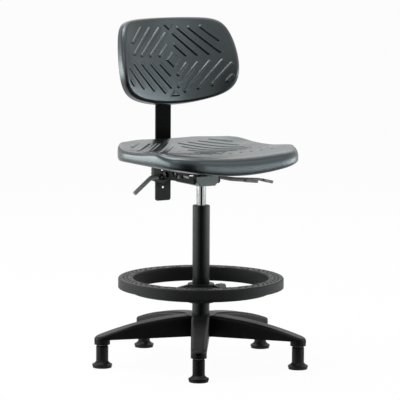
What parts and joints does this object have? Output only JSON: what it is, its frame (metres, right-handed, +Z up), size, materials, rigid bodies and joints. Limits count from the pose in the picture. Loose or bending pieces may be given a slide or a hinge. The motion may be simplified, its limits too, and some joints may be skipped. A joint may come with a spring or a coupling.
{
  "type": "drafting chair",
  "caption": "Tall drafting chair with moulded foam seat and saddle back, gas lift, sliding foot ring and a star base on bell glides",
  "frame": {"origin": "point on the floor on the column's axis, in the plane of the glides' soles", "axes": "+Z up along the column, the sitter faces -Y, and the sitter's right hand is on the -X side"},
  "size_m": [0.614, 0.5973, 0.9819],
  "materials": {
    "pu_skin": "satin",
    "black_nylon": "satin",
    "sole_rubber": "matte",
    "black_paint": "satin",
    "grey_paint": "satin",
    "cylinder_chrome": "polished",
    "plain_steel": "satin",
    "plywood": "matte"
  },
  "bodies": {
    "base": {"base_star": "black_nylon", "column_tube": "black_paint", "column_bush": "black_nylon", "bearing_lower_washer": "plain_steel", "bearing_cage": "black_nylon", "bearing_balls": "plain_steel", "glide_sole_1": "sole_rubber", "glide_body_1": "black_nylon", "glide_stem_1": "plain_steel", "glide_sole_2": "sole_rubber", "glide_body_2": "black_nylon", "glide_stem_2": "plain_steel", "glide_sole_3": "sole_rubber", "glide_body_3": "black_nylon", "glide_stem_3": "plain_steel", "glide_sole_4": "sole_rubber", "glide_body_4": "black_nylon", "glide_stem_4": "plain_steel", "glide_sole_5": "sole_rubber", "glide_body_5": "black_nylon", "glide_stem_5": "plain_steel"},
    "spindle": {"piston_rod": "plain_steel", "rod_clip": "plain_steel", "bearing_upper_washer": "plain_steel"},
    "lift": {"gas_cylinder": "cylinder_chrome", "column_cone": "plain_steel", "mechanism_housing": "grey_paint", "lever_carrier": "plain_steel", "lever_pin": "plain_steel", "tilt_pin": "plain_steel"},
    "release_pin": {"release_pin": "plain_steel"},
    "height_lever": {"height_lever_rod": "plain_steel", "height_lever_paddle": "black_nylon"},
    "tilt_lever": {"tilt_lever_rod": "plain_steel", "tilt_lever_paddle": "black_nylon"},
    "seat": {"seat_plate": "black_paint", "seat_pad": "pu_skin", "seat_board": "plywood", "seat_inserts": "plain_steel", "seat_bolts": "plain_steel", "back_pivot_pin": "plain_steel", "pivot_caps": "black_nylon"},
    "back_bracket": {"back_bracket": "black_paint", "upright_guide": "black_nylon", "guide_bolts": "plain_steel", "back_lever_pin": "plain_steel"},
    "back_lever": {"back_lever_rod": "plain_steel", "back_lever_grip": "black_nylon"},
    "back_knob": {"back_knob": "black_nylon"},
    "back": {"upright": "black_paint", "back_pad": "pu_skin", "back_board": "plywood", "back_inserts": "plain_steel", "back_bolts": "plain_steel", "back_washers": "plain_steel"},
    "foot_ring": {"foot_ring": "black_nylon", "ring_nut": "plain_steel"},
    "ring_knob": {"ring_knob": "black_nylon"}
  },
  "joints": [
    {"name": "seat_swivel", "type": "hinge", "parent": "base", "child": "spindle", "pos_m": [0, 0, 0.0865], "axis": [0, 0, 1], "continuous": true},
    {"name": "seat_height", "type": "slide", "parent": "spindle", "child": "lift", "axis": [0, 0, 1], "range_m": [-0.045, 0.215]},
    {"name": "pin_press", "type": "slide", "parent": "lift", "child": "release_pin", "axis": [0, 0, -1], "range_m": [0, 0.0036]},
    {"name": "height_lever_lift", "type": "hinge", "parent": "lift", "child": "height_lever", "pos_m": [0.0275, 0, 0.538], "axis": [0, -1, 0], "range_deg": [0, 6.88], "stiffness_Nm_per_rad": 4},
    {"name": "tilt_lever_lift", "type": "hinge", "parent": "lift", "child": "tilt_lever", "pos_m": [0.0275, 0.04, 0.538], "axis": [0, -1, 0], "range_deg": [0, 8.59]},
    {"name": "seat_tilt", "type": "hinge", "parent": "lift", "child": "seat", "pos_m": [0, -0.024, 0.529], "axis": [1, 0, 0], "range_deg": [-3.44, 8.02]},
    {"name": "back_angle", "type": "hinge", "parent": "seat", "child": "back_bracket", "pos_m": [0, 0.124, 0.533], "axis": [-1, 0, 0], "range_deg": [-2.87, 17.19]},
    {"name": "back_lever_lift", "type": "hinge", "parent": "back_bracket", "child": "back_lever", "pos_m": [-0.048, 0.15, 0.525], "axis": [0, 1, 0], "range_deg": [0, 17.19]},
    {"name": "back_knob_turn", "type": "hinge", "parent": "back_bracket", "child": "back_knob", "pos_m": [0, 0.24, 0.528], "axis": [0, 1, 0], "range_deg": [0, 360]},
    {"name": "back_height", "type": "slide", "parent": "back_bracket", "child": "back", "axis": [0, 0, 1], "range_m": [-0.05, 0.05]},
    {"name": "ring_height", "type": "slide", "parent": "base", "child": "foot_ring", "axis": [0, 0, 1], "range_m": [-0.03, 0.08]},
    {"name": "ring_knob_turn", "type": "hinge", "parent": "foot_ring", "child": "ring_knob", "pos_m": [0.05834, 0.01401, 0.204], "axis": [0.9724, 0.2334, 0], "range_deg": [0, 360]}
  ],
  "couplings": [
    {"joint": "pin_press", "follows": "height_lever_lift", "m_per_rad": 0.0297}
  ]
}
